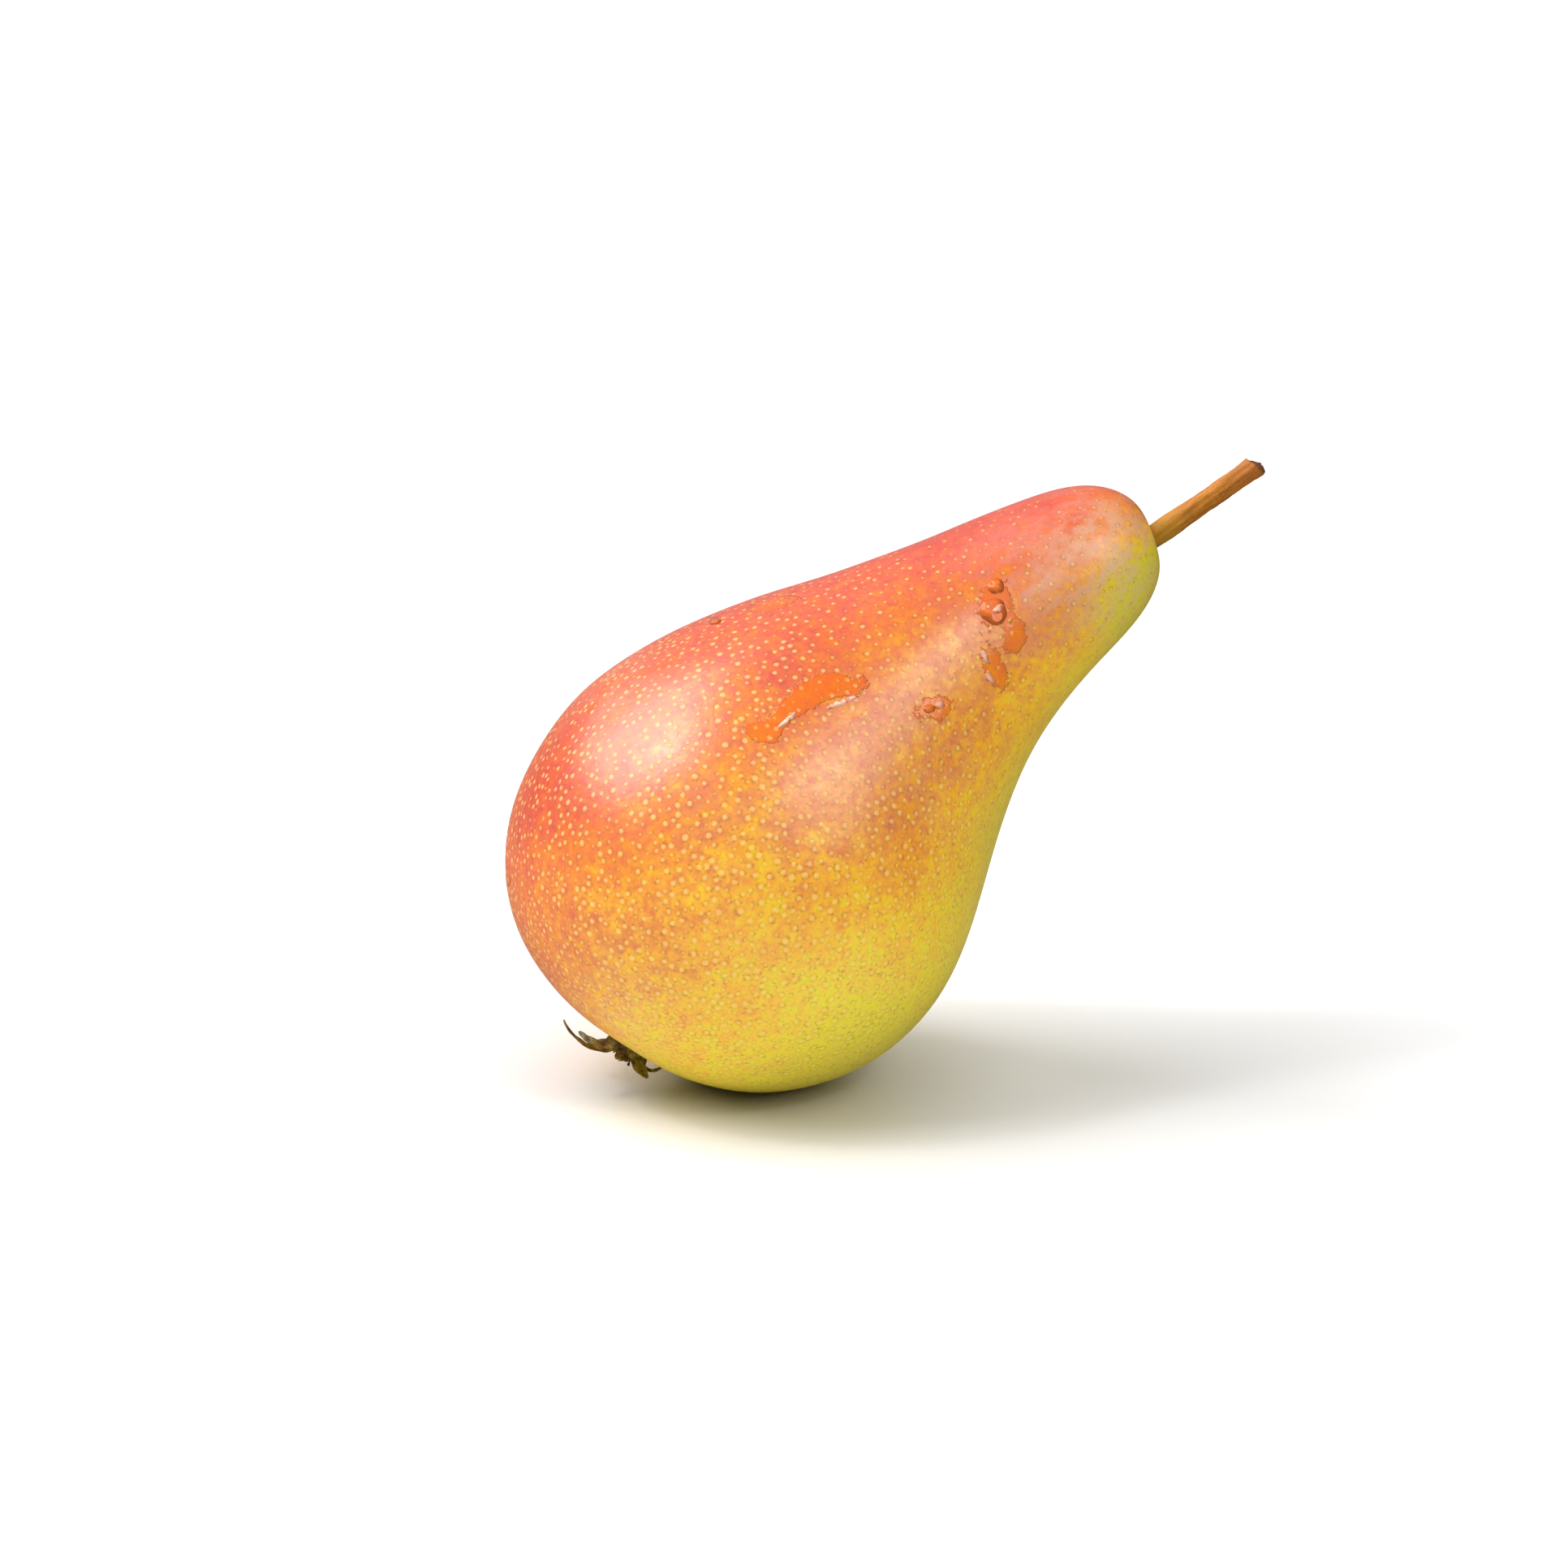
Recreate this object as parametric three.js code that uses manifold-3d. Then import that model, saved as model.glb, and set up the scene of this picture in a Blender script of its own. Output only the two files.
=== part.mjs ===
// A ripe dessert pear as picked: the fruit, its woody stalk, and the dried calyx with its stamens.
// It rests on the side of its bulb with the neck and the stalk raised.
// Millimetres, +Z up. The origin is the middle of the small flat spot that the fruit rests on.

import * as THREE from 'three';
import { mergeVertices } from 'three/addons/utils/BufferGeometryUtils.js';
import Module from 'manifold-3d';

// The pose. The core's curve lies in one upright plane that leans back. The bulb's centre is the
// point that places in this plane are measured from.
const LEAN_BACK = THREE.MathUtils.degToRad(15);
const BULB_CENTRE = new THREE.Vector3(-2.5, -0.95, 31.95);

// The core's curve from the calyx end to the stalk end, as right and up in the leaning plane.
const CORE_POINTS = [[-17.5, -25.4], [2.2, 2.6], [22.5, 26.8], [56.4, 45.3]];

// The girth along the core, from the calyx end to the stalk end: a control value for each sixth.
const GIRTH = [99, 63, 87.5, 51, 28, 23.5, 48.5];

// What keeps the fruit from being round: five low ribs that fade away from the calyx, and an oval.
const RIB_SHARE = 0.015;
const RIB_COUNT = 5;
const RIB_TURN = 0.6;
const RIB_FADE = 0.12;
const OVAL_SHARE = 0.01;

// The basin round the calyx and the dimple round the stalk are pressed in at these places.
const CALYX_PLACE = [-15.3, -26.3];
const CALYX_ANGLE = THREE.MathUtils.degToRad(240);
const BASIN_DEPTH = 1.3;
const BASIN_WIDTH = 5;
const STALK_PLACE = [57.3, 43.9];
const STALK_ANGLE = THREE.MathUtils.degToRad(34);
const DIMPLE_DEPTH = 0.8;
const DIMPLE_WIDTH = 4;

// The stalk: what shows, what is sunk in the flesh, and its thickness.
const STALK_LENGTH = 16.8;
const STALK_SUNK = 6;
const STALK_RADIUS = 1.45;
const STALK_LIFT = 0.25;
const STALK_FLARE = 0.14;
const STALK_RIDGE = 0.04;
const STALK_RIDGE_COUNT = 5;

// The stalk's cut end slants back towards its upper side: by how much in its middle, and from what
// share of the stalk's length on.
const STALK_SLANT = 0.6;
const STALK_SLANT_FROM = 0.86;

// Where along the whole stalk it swells, and over how much of it: at the flesh and at the cut end.
const ROOT_SWELLING = { at: 0.27, over: 0.12 };
const TIP_SWELLING = { at: 1, over: 0.1 };

// The calyx: a dried cup, sunk in the basin, that carries five sepals.
const CUP_RADIUS = 3;
const CUP_MOUTH = 1.95;
const CUP_TOP = 1.3;
const CUP_FLOOR = -0.7;
const CUP_BASE = -3.4;
const CUP_EDGE = 0.35;
const SEPAL_THICKNESS = 0.7;
const SEPAL_TAPER = 0.75;

// Each sepal: turn about the calyx in degrees, reach out from its middle, the height it rises to,
// the height of its tip and its width at the root.
const SEPALS = [
  { turn: -46, reach: 10.0, rise: 2.2, tip: 2.2, width: 3.0 },
  { turn: 30, reach: 10.8, rise: 2.9, tip: 0.9, width: 4.0 },
  { turn: 90, reach: 4.6, rise: 1.7, tip: 1.7, width: 2.6 },
  { turn: 139, reach: 5.8, rise: 1.6, tip: 2.3, width: 4.0 },
  { turn: 216, reach: 6.8, rise: 1.9, tip: 0.5, width: 2.2 },
];

// The stamens: a tuft of dried filaments on a low mound in the cup.
const STAMEN_COUNT = 14;
const STAMEN_RADIUS = 0.27;
const STAMEN_HEIGHT = 2.1;
const STAMEN_SPREAD = 1.05;
const GOLDEN_ANGLE = Math.PI * (3 - Math.sqrt(5));
const MOUND_RADIUS = 1.55;

// The clearance left round what is set in the flesh, and between the calyx and the stamens.
const GAP = 0.3;

// How finely each surface is divided.
const FRUIT_BANDS = 50;
const FRUIT_SIDES = 60;
const CUP_SIDES = 24;
const STALK_BANDS = 14;
const STALK_SIDES = 15;
const SEPAL_BANDS = 8;
const SEPAL_SIDES = 8;
const STAMEN_SIDES = 5;

// The leaning plane's own directions.
const RIGHT = new THREE.Vector3(1, 0, 0);
const UP = new THREE.Vector3(0, Math.sin(LEAN_BACK), Math.cos(LEAN_BACK));
const FRONT = new THREE.Vector3().crossVectors(RIGHT, UP);

const wasm = await Module();
wasm.setup();

// A point given as right and up in the leaning plane.
function inPlane([right, up]) {
  return BULB_CENTRE.clone().addScaledVector(RIGHT, right).addScaledVector(UP, up);
}

// A direction in the leaning plane, by its angle from level.
function directionInPlane(angle) {
  return RIGHT.clone().multiplyScalar(Math.cos(angle)).addScaledVector(UP, Math.sin(angle));
}

// A closed skin over rings of points. Each ring runs anticlockwise about the direction of travel,
// and each end is closed to one point.
function loft(rings, firstPole, lastPole) {
  const sides = rings[0].length;
  const points = [firstPole, ...rings.flat(), lastPole];
  const last = points.length - 1;
  const at = (ring, side) => 1 + ring * sides + (side % sides);
  const index = [];
  for (let side = 0; side < sides; side++) {
    index.push(0, at(0, side + 1), at(0, side));
    for (let ring = 0; ring < rings.length - 1; ring++) {
      index.push(at(ring, side), at(ring, side + 1), at(ring + 1, side));
      index.push(at(ring, side + 1), at(ring + 1, side + 1), at(ring + 1, side));
    }
    index.push(last, at(rings.length - 1, side), at(rings.length - 1, side + 1));
  }
  const geometry = new THREE.BufferGeometry().setFromPoints(points);
  geometry.setIndex(index);
  return geometry;
}

// A ring of points round a centre, flattened or stretched by its two half axes.
function ellipse(centre, across, through, halfAcross, halfThrough, sides) {
  return Array.from({ length: sides }, (_, side) => {
    const angle = (side / sides) * 2 * Math.PI;
    return centre.clone()
      .addScaledVector(across, halfAcross * Math.cos(angle))
      .addScaledVector(through, halfThrough * Math.sin(angle));
  });
}

// A closed three.js geometry as a solid that can be joined and cut.
function solid(geometry) {
  const bare = geometry.clone();
  bare.deleteAttribute('normal');
  bare.deleteAttribute('uv');
  const merged = mergeVertices(bare);
  return new wasm.Manifold(new wasm.Mesh({
    numProp: 3,
    vertProperties: new Float32Array(merged.getAttribute('position').array),
    triVerts: new Uint32Array(merged.getIndex().array),
  }));
}

// A solid back as a three.js geometry.
function geometryOf(body) {
  const mesh = body.getMesh();
  const geometry = new THREE.BufferGeometry();
  geometry.setAttribute('position', new THREE.BufferAttribute(new Float32Array(mesh.vertProperties), 3));
  geometry.setIndex(new THREE.BufferAttribute(new Uint32Array(mesh.triVerts), 1));
  geometry.computeVertexNormals();
  return geometry;
}

// A solid turned about the calyx's own axis, from pairs of radius and height.
function turnedInCalyx(profile) {
  const turned = new THREE.LatheGeometry(profile.map(([r, h]) => new THREE.Vector2(r, h)), CUP_SIDES);
  const toCalyx = new THREE.Matrix4().makeBasis(calyxSide, calyxOut, FRONT);
  return solid(turned.applyMatrix4(toCalyx.setPosition(calyxCentre)));
}

// The girth at a share of the core's curve: a smooth curve through the control values, rounded
// off to nothing at both ends.
function girthAt(share) {
  const degree = GIRTH.length - 1;
  let sum = 0;
  let choose = 1;
  for (let k = 0; k <= degree; k++) {
    sum += choose * GIRTH[k] * share ** k * (1 - share) ** (degree - k);
    choose *= (degree - k) / (k + 1);
  }
  return Math.sqrt(share * (1 - share)) * sum;
}

// Moves a point of the skin inwards where it is near a basin or a dimple.
function press(point, centre, outwards, depth, width) {
  const near = Math.exp(-point.distanceToSquared(centre) / width ** 2);
  return point.addScaledVector(outwards, -depth * near);
}

const core = new THREE.CubicBezierCurve3(...CORE_POINTS.map(inPlane));
const calyxCentre = inPlane(CALYX_PLACE);
const calyxOut = directionInPlane(CALYX_ANGLE);
const calyxSide = new THREE.Vector3().crossVectors(calyxOut, FRONT);
const stalkRoot = inPlane(STALK_PLACE);
const stalkOut = directionInPlane(STALK_ANGLE);
const stalkUp = new THREE.Vector3().crossVectors(FRONT, stalkOut);

// The direction straight out from the calyx's axis at a turn about it.
function fromCalyx(turn) {
  return calyxSide.clone().multiplyScalar(Math.cos(turn)).addScaledVector(FRONT, Math.sin(turn));
}

// A point of the fruit's skin, by its share of the core's curve and its angle about it.
function skinPoint(share, angle) {
  const along = core.getTangent(share);
  const upper = new THREE.Vector3().crossVectors(FRONT, along);
  const ribs = RIB_SHARE * Math.exp(-share / RIB_FADE) * Math.cos(RIB_COUNT * angle + RIB_TURN);
  const oval = OVAL_SHARE * Math.sin(Math.PI * share) * Math.sin(2 * angle);
  const radius = girthAt(share) * (1 + ribs + oval);
  const point = core.getPoint(share)
    .addScaledVector(upper, radius * Math.cos(angle))
    .addScaledVector(FRONT, radius * Math.sin(angle));
  press(point, calyxCentre, calyxOut, BASIN_DEPTH, BASIN_WIDTH);
  return press(point, stalkRoot, stalkOut, DIMPLE_DEPTH, DIMPLE_WIDTH);
}

// How much of its swelling the stalk has at a share of its length.
function swelling(share) {
  return [ROOT_SWELLING, TIP_SWELLING]
    .map(({ at, over }) => Math.exp(-(((share - at) / over) ** 2)))
    .reduce((sum, part) => sum + part);
}

// How much of its slant the stalk has at a share of its length.
function slantAt(share) {
  return STALK_SLANT * Math.max(0, (share - STALK_SLANT_FROM) / (1 - STALK_SLANT_FROM)) ** 2;
}

// The stalk, thicker by a clearance where it makes its own pocket in the flesh. It swells a
// little where it leaves the fruit and where it once joined the spur.
function stalkBody(clearance) {
  const inner = stalkRoot.clone().addScaledVector(stalkOut, -STALK_SUNK - clearance);
  const middle = stalkRoot.clone().addScaledVector(stalkOut, STALK_LENGTH / 2);
  const tip = stalkRoot.clone().addScaledVector(stalkOut, STALK_LENGTH).addScaledVector(stalkUp, STALK_LIFT);
  const line = new THREE.QuadraticBezierCurve3(inner, middle, tip);
  const rings = Array.from({ length: STALK_BANDS + 1 }, (_, band) => {
    const share = band / STALK_BANDS;
    const radius = STALK_RADIUS * (1 + STALK_FLARE * swelling(share)) + clearance;
    const upper = new THREE.Vector3().crossVectors(FRONT, line.getTangent(share));
    return Array.from({ length: STALK_SIDES }, (_, side) => {
      const angle = (side / STALK_SIDES) * 2 * Math.PI;
      const ridged = radius * (1 + STALK_RIDGE * Math.cos(STALK_RIDGE_COUNT * angle));
      return line.getPoint(share)
        .addScaledVector(upper, ridged * Math.cos(angle))
        .addScaledVector(FRONT, ridged * Math.sin(angle))
        .addScaledVector(stalkOut, -slantAt(share) * (1 + Math.cos(angle)));
    });
  });
  const end = line.getPoint(1).addScaledVector(stalkOut, -slantAt(1));
  return solid(loft(rings, line.getPoint(0), end));
}

// The pocket that the calyx cup sits in, open through the skin.
function calyxPocket() {
  const radius = CUP_RADIUS + GAP;
  const base = CUP_BASE - GAP;
  const top = CUP_TOP + BASIN_DEPTH;
  return turnedInCalyx([[0, base], [radius, base], [radius, top], [0, top]]);
}

// What would lie below the ground, cut away to leave the small flat spot.
function groundSlab() {
  const across = 4 * BULB_CENTRE.z;
  const deep = BULB_CENTRE.z;
  return solid(new THREE.BoxGeometry(across, across, deep).translate(0, 0, -deep / 2));
}

// The fruit: one grown body, hollowed only where the stalk and the calyx are set in it.
function fruitBody() {
  const rings = Array.from({ length: FRUIT_BANDS - 1 }, (_, band) => {
    const share = (1 - Math.cos((Math.PI * (band + 1)) / FRUIT_BANDS)) / 2;
    return Array.from({ length: FRUIT_SIDES }, (_, side) => (
      skinPoint(share, (side / FRUIT_SIDES) * 2 * Math.PI)
    ));
  });
  return solid(loft(rings, skinPoint(0, 0), skinPoint(1, 0)))
    .subtract(stalkBody(GAP))
    .subtract(calyxPocket())
    .subtract(groundSlab());
}

// One sepal: a blade that rises from the cup's rim, arches outwards and narrows to its tip.
function sepalBody({ turn, reach, rise, tip, width }) {
  const outwards = fromCalyx(THREE.MathUtils.degToRad(turn));
  const across = new THREE.Vector3().crossVectors(calyxOut, outwards);
  const place = (radius, height) => (
    calyxCentre.clone().addScaledVector(outwards, radius).addScaledVector(calyxOut, height)
  );
  const line = new THREE.CubicBezierCurve3(
    place((CUP_RADIUS + CUP_MOUTH) / 2, 0.2),
    place(1.1 * CUP_RADIUS, rise),
    place(0.4 * CUP_RADIUS + 0.6 * reach, rise + 0.3),
    place(reach, tip),
  );
  const rings = Array.from({ length: SEPAL_BANDS + 1 }, (_, band) => {
    const share = band / SEPAL_BANDS;
    const through = new THREE.Vector3().crossVectors(line.getTangent(share), across);
    const halfWidth = (width / 2) * (1 - SEPAL_TAPER * share);
    return ellipse(line.getPoint(share), across, through, halfWidth, SEPAL_THICKNESS / 2, SEPAL_SIDES);
  });
  return solid(loft(rings, line.getPoint(0), line.getPoint(1)));
}

// The calyx: the cup with its five sepals grown together.
function calyxBody() {
  const cup = turnedInCalyx([
    [0, CUP_BASE],
    [CUP_RADIUS - CUP_EDGE, CUP_BASE],
    [CUP_RADIUS, CUP_BASE + CUP_EDGE],
    [CUP_RADIUS, CUP_TOP - CUP_EDGE],
    [CUP_RADIUS - CUP_EDGE, CUP_TOP],
    [CUP_MOUTH, CUP_TOP - CUP_EDGE / 2],
    [CUP_MOUTH, CUP_FLOOR],
    [0, CUP_FLOOR],
  ]);
  return SEPALS.map(sepalBody).reduce((joined, sepal) => joined.add(sepal), cup);
}

// The same list of random shares every time.
function seededShares(seed) {
  let state = seed;
  return () => {
    state = (state * 1664525 + 1013904223) % 4294967296;
    return state / 4294967296;
  };
}

// One filament, from its foot in the mound to its tip, leaning outwards by a share of its place.
function filamentBody(turn, foot, lean, height) {
  const outwards = fromCalyx(turn);
  const across = new THREE.Vector3().crossVectors(calyxOut, outwards);
  const centres = [0, 0.5, 1].map((share) => calyxCentre.clone()
    .addScaledVector(outwards, foot * (1 + lean * share ** 2))
    .addScaledVector(calyxOut, CUP_FLOOR + 0.5 + (height - CUP_FLOOR) * share));
  const rings = centres.map((centre, step) => {
    const radius = STAMEN_RADIUS * (1 - 0.15 * step);
    return ellipse(centre, outwards, across, radius, radius, STAMEN_SIDES);
  });
  return solid(loft(rings, centres[0], centres[2]));
}

// The stamens: filaments standing on a mound, each a little off its neighbour's lean and length.
function stamensBody() {
  const random = seededShares(7);
  const floor = CUP_FLOOR + GAP;
  const mound = turnedInCalyx([[0, floor], [MOUND_RADIUS, floor], [MOUND_RADIUS, floor + 0.5], [0, floor + 1]]);
  return Array.from({ length: STAMEN_COUNT }, (_, k) => filamentBody(
    k * GOLDEN_ANGLE,
    STAMEN_SPREAD * Math.sqrt((k + 0.5) / STAMEN_COUNT),
    0.3 * random(),
    STAMEN_HEIGHT * (0.7 + 0.3 * random()),
  )).reduce((joined, filament) => joined.add(filament), mound);
}

// One named mesh with its own finish.
function piece(name, body, color, roughness) {
  const material = new THREE.MeshStandardMaterial({ color, roughness, metalness: 0 });
  const mesh = new THREE.Mesh(geometryOf(body), material);
  mesh.name = name;
  return mesh;
}

const pear = new THREE.Group();
pear.add(
  piece('fruit', fruitBody(), 0xd98a4e, 0.4),
  piece('stem', stalkBody(0), 0x9a5f24, 0.7),
  piece('calyx', calyxBody(), 0x4a3a1c, 0.85),
  piece('stamens', stamensBody(), 0x2c2014, 0.9),
);

export default pear;
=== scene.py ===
import math

import bpy
import numpy as np
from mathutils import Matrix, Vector


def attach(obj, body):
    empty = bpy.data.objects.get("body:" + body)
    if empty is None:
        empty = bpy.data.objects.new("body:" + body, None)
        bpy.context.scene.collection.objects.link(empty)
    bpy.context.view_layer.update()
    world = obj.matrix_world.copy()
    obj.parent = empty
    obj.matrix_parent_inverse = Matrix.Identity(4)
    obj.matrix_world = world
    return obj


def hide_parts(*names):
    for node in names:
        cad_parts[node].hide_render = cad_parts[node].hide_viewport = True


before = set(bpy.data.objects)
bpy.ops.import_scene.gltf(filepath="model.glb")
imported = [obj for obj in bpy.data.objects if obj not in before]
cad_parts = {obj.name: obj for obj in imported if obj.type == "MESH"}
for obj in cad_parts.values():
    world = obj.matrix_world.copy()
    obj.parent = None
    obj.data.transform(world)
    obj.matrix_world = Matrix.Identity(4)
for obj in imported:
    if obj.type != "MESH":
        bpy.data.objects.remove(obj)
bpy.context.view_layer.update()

# The fruit
# One grown body of firm flesh under a thin waxy skin, red where the sun reached it and yellow
# green where it did not, and speckled all over with pale breathing pores. Sizes are in millimetres.
MM = 0.001
LEAN_BACK = math.radians(15)
RIGHT = np.array([1.0, 0.0, 0.0])
UP = np.array([0.0, math.sin(LEAN_BACK), math.cos(LEAN_BACK)])
FRONT = np.cross(RIGHT, UP)
BULB_CENTRE = np.array([-2.5, -0.95, 31.95])
CORE_POINTS = np.array([[-17.5, -25.4], [2.2, 2.6], [22.5, 26.8], [56.4, 45.3]])
GIRTH = [99, 63, 87.5, 51, 28, 23.5, 48.5]
RIB_SHARE, RIB_COUNT, RIB_TURN, RIB_FADE = 0.015, 5, 0.6, 0.12
OVAL_SHARE = 0.01
CALYX_PLACE, CALYX_ANGLE = (-15.3, -26.3), math.radians(240)
BASIN_DEPTH, BASIN_WIDTH = 1.3, 5.0
STALK_PLACE, STALK_ANGLE = (57.3, 43.9), math.radians(34)
DIMPLE_DEPTH, DIMPLE_WIDTH = 0.8, 4.0
FRUIT_RINGS, FRUIT_SIDES = 232, 420
GROUND_SOFTNESS = 0.12
WAVE_HEIGHT, WAVE_LENGTH, WAVE_SEED, FULL_WAVE_GIRTH = 0.11, 17, 3, 8


def in_plane(right, up):
    """The point that lies so far right and up of the bulb's centre in the leaning plane."""
    return BULB_CENTRE + right * RIGHT + up * UP


def direction_in_plane(angle):
    """The direction in the leaning plane at an angle from level."""
    return math.cos(angle) * RIGHT + math.sin(angle) * UP


def unit(vectors):
    """Each vector divided by its own length."""
    return vectors / np.linalg.norm(vectors, axis=-1, keepdims=True)


def bezier(points, share):
    """The Bezier curve of the control points: each point times its Bernstein share, added up."""
    degree = len(points) - 1
    share = np.asarray(share, dtype=float)[..., None]
    return sum(
        math.comb(degree, k) * share**k * (1 - share) ** (degree - k) * point
        for k, point in enumerate(points)
    )


def bezier_direction(points, share):
    """The unit direction along the Bezier curve, from the curve of its points' differences."""
    return unit(bezier(np.diff(points, axis=0), share))


WAVE_COUNT, WAVES_IN_STEP = 12, 4


def waves(points, length, seed):
    """A smooth random height for each point: plane waves of about one length, each turned and
    shifted at random, added up and divided to lie at about -1 to 1."""
    random = np.random.default_rng(seed)
    ways = unit(random.normal(size=(WAVE_COUNT, 3)))
    turns = 2 * math.pi / (length * random.uniform(0.7, 1.5, WAVE_COUNT))
    shifts = random.uniform(0, 2 * math.pi, WAVE_COUNT)
    return np.sin(points @ ways.T * turns + shifts).sum(-1) / WAVES_IN_STEP


CORE = np.array([in_plane(*place) for place in CORE_POINTS])
CALYX_CENTRE = in_plane(*CALYX_PLACE)
CALYX_OUT = direction_in_plane(CALYX_ANGLE)
STALK_ROOT = in_plane(*STALK_PLACE)
STALK_OUT = direction_in_plane(STALK_ANGLE)


def girth_at(share):
    """How far the skin lies from the core at a share of its curve, rounded off at both ends."""
    return np.sqrt(share * (1 - share)) * bezier(np.array(GIRTH, float)[:, None], share)[..., 0]


def skin(share, angle):
    """A point of the skin: the core's point at a share of its curve, moved out at an angle about it
    by the girth there, pressed in round the calyx and the stalk, and flattened on the ground."""
    share, angle = np.broadcast_arrays(np.asarray(share, float), np.asarray(angle, float))
    along = bezier_direction(CORE, share)
    upper = np.cross(FRONT, along)
    girth = girth_at(share)
    ribs = RIB_SHARE * np.exp(-share / RIB_FADE) * np.cos(RIB_COUNT * angle + RIB_TURN)
    oval = OVAL_SHARE * np.sin(math.pi * share) * np.sin(2 * angle)
    out = np.cos(angle)[..., None] * upper + np.sin(angle)[..., None] * FRONT
    points = bezier(CORE, share) + (girth * (1 + ribs + oval))[..., None] * out
    wave = WAVE_HEIGHT * waves(points, WAVE_LENGTH, WAVE_SEED)
    points = points + (wave * np.minimum(1, girth / FULL_WAVE_GIRTH))[..., None] * out
    for centre, way, depth, width in (
        (CALYX_CENTRE, CALYX_OUT, BASIN_DEPTH, BASIN_WIDTH),
        (STALK_ROOT, STALK_OUT, DIMPLE_DEPTH, DIMPLE_WIDTH),
    ):
        near = np.exp(-((points - centre) ** 2).sum(-1) / width**2)
        points = points - (depth * near)[..., None] * way
    height = points[..., 2]
    points[..., 2] = (height + np.sqrt(height**2 + 4 * GROUND_SOFTNESS**2)) / 2
    return points


def tube_faces(rings, sides):
    """The faces of a closed tube of rings, numbered ring by ring, with a fan to a pole at each end."""
    ring, side = np.meshgrid(np.arange(rings - 1), np.arange(sides), indexing="ij")
    ahead = (side + 1) % sides
    here, there = ring * sides, (ring + 1) * sides
    quads = np.stack([here + side, here + ahead, there + ahead, there + side], -1).reshape(-1, 4)
    turn = np.arange(sides)
    first = np.stack([np.full(sides, rings * sides), (turn + 1) % sides, turn], -1)
    base = (rings - 1) * sides
    last = np.stack([np.full(sides, rings * sides + 1), base + turn, base + (turn + 1) % sides], -1)
    return quads.tolist() + first.tolist() + last.tolist()


def new_piece(name, points, faces):
    """A smooth-shaded mesh object at the origin, from points in millimetres."""
    mesh = bpy.data.meshes.new(name)
    mesh.from_pydata((np.asarray(points).reshape(-1, 3) * MM).tolist(), [], faces)
    mesh.shade_smooth()
    mesh.update()
    piece = bpy.data.objects.new(name, mesh)
    bpy.context.scene.collection.objects.link(piece)
    return piece


def write_attribute(piece, name, kind, domain, values):
    """Stores one value for each vertex or face of the piece."""
    field = {"FLOAT": "value", "FLOAT_VECTOR": "vector"}[kind]
    values = np.ascontiguousarray(values, dtype=np.float32).ravel()
    piece.data.attributes.new(name, kind, domain).data.foreach_set(field, values)


def turns_round(sides):
    """Evenly spaced angles once round, as one row."""
    return (2 * math.pi * np.arange(sides) / sides)[None, :]


# The rings crowd evenly round both rounded ends of the core's curve.
fruit_shares = (1 - np.cos(math.pi * np.arange(1, FRUIT_RINGS + 1) / (FRUIT_RINGS + 1))) / 2
fruit_grid = skin(fruit_shares[:, None], turns_round(FRUIT_SIDES))
fruit_points = np.concatenate([fruit_grid.reshape(-1, 3), skin([0.0, 1.0], [0.0, 0.0])])
fruit = new_piece("fruit_skin", fruit_points, tube_faces(FRUIT_RINGS, FRUIT_SIDES))

# The pores on the skin
# Each pale pore is a corky speck just under a millimetre across with a dull rim. They crowd
# towards the calyx, where the skin grew least, and thin out along the neck.
PORE_TRIES = 90000
PORE_GAP_AT_CALYX, PORE_GAP_AT_BULB, PORE_GAP_AT_NECK = 0.85, 1.25, 1.5
BULB_FROM, BULB_TO, NECK_FROM = 0.16, 0.45, 0.8
GAP_SPREAD, SIZE_SPREAD = (0.7, 1.5), (0.55, 1.2)
PORE_RADIUS = 0.37
SMALLER_FROM, SMALLER_TO, SMALL_PORE = 0.45, 0.9, 0.6
FACES_AT_ONCE = 4000
pore_random = np.random.default_rng(11)


def pore_gap(share):
    """The room that a pore keeps round itself, from the calyx to the bulb and on to the neck."""
    gaps = (PORE_GAP_AT_CALYX, PORE_GAP_AT_BULB, PORE_GAP_AT_BULB, PORE_GAP_AT_NECK)
    return np.interp(share, (0, BULB_FROM, BULB_TO, NECK_FROM), gaps)


def scatter_pores():
    """Pore centres: random places on the skin, spread by area, each kept only if its room is free."""
    a, b, c = fruit_grid[:-1], fruit_grid[1:], np.roll(fruit_grid, -1, axis=1)[:-1]
    area = np.linalg.norm(np.cross(b - a, c - a), axis=-1).ravel()
    picked = pore_random.choice(area.size, PORE_TRIES, p=area / area.sum())
    ring, side = np.divmod(picked, FRUIT_SIDES)
    part = pore_random.uniform(size=PORE_TRIES)
    share = fruit_shares[ring] + part * (fruit_shares[ring + 1] - fruit_shares[ring])
    turn = (side + pore_random.uniform(size=PORE_TRIES)) * 2 * math.pi / FRUIT_SIDES
    places = skin(share, turn)
    room = pore_gap(share) * pore_random.uniform(*GAP_SPREAD, PORE_TRIES)
    kept = np.empty((PORE_TRIES, 3))
    chosen = []
    for k in range(PORE_TRIES):
        count = len(chosen)
        if not count or ((kept[:count] - places[k]) ** 2).sum(1).min() > room[k] ** 2:
            kept[count] = places[k]
            chosen.append(k)
    sizes = PORE_RADIUS * pore_random.uniform(*SIZE_SPREAD, len(chosen))
    smaller = np.interp(share[chosen], (SMALLER_FROM, SMALLER_TO), (1.0, SMALL_PORE))
    return kept[: len(chosen)], sizes * smaller


pore_places, pore_sizes = scatter_pores()


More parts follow.
